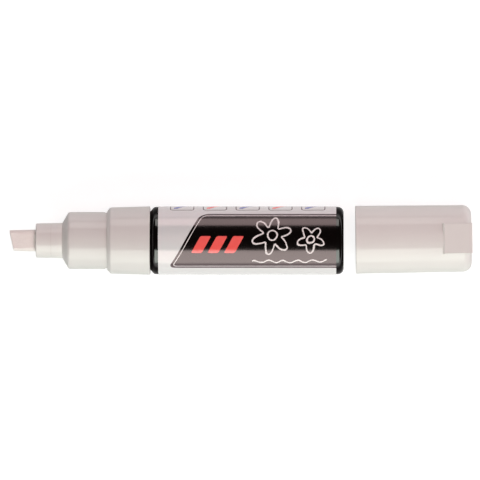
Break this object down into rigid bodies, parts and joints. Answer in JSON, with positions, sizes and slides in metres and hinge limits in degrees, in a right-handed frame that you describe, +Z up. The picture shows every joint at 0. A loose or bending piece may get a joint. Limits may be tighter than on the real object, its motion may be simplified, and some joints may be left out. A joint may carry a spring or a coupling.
{
  "type": "liquid chalk marker",
  "caption": "Broad chisel-nib liquid chalk marker with a spring valve, white front section, black labelled barrel and its white cap lying off behind the tail.",
  "frame": {"origin": "on the table under the middle of the row of marker and cap", "axes": "+X along the marker from nib to tail and on to the cap, +Y across, +Z up from the table"},
  "size_m": [0.1555, 0.0234, 0.023],
  "materials": {
    "black_plastic": "moulded, glossy black",
    "label_film": "printed film, mostly black, varnished",
    "white_plastic": "moulded, satin to glossy white",
    "liner_plastic": "natural, milky",
    "nib_felt": "pressed felt, nearly white",
    "valve_plastic": "natural moulded plastic",
    "seal_rubber": "matt black",
    "spring_steel": "drawn wire",
    "ball_steel": "polished"
  },
  "bodies": {
    "barrel": {"barrel": "black_plastic", "label_sleeve": "label_film", "front_section": "white_plastic", "nib_holder": "white_plastic", "valve_housing": "valve_plastic", "barrel_gasket": "seal_rubber", "spring_cage": "valve_plastic", "valve_spring": "spring_steel"},
    "nib": {"chisel_nib": "nib_felt", "valve_stem": "valve_plastic", "valve_seal": "seal_rubber"},
    "ball": {"mixing_ball": "ball_steel"},
    "cap": {"cap_shell": "white_plastic", "inner_cap": "liner_plastic"}
  },
  "joints": [
    {"name": "nib_press", "type": "slide", "parent": "barrel", "child": "nib", "axis": [1, 0, 0], "range_m": [0, 0.002], "stiffness_N_per_m": 900, "springref_m": -0.003, "deforming": ["valve_spring"]},
    {"name": "ball_travel", "type": "slide", "parent": "barrel", "child": "ball", "axis": [1, 0, 0], "range_m": [-0.0217, 0.0271]},
    {"name": "cap_slide", "type": "slide", "parent": "barrel", "child": "cap", "axis": [0.9999, 0.0131, 0], "range_m": [-0.0035, 0.06]}
  ]
}
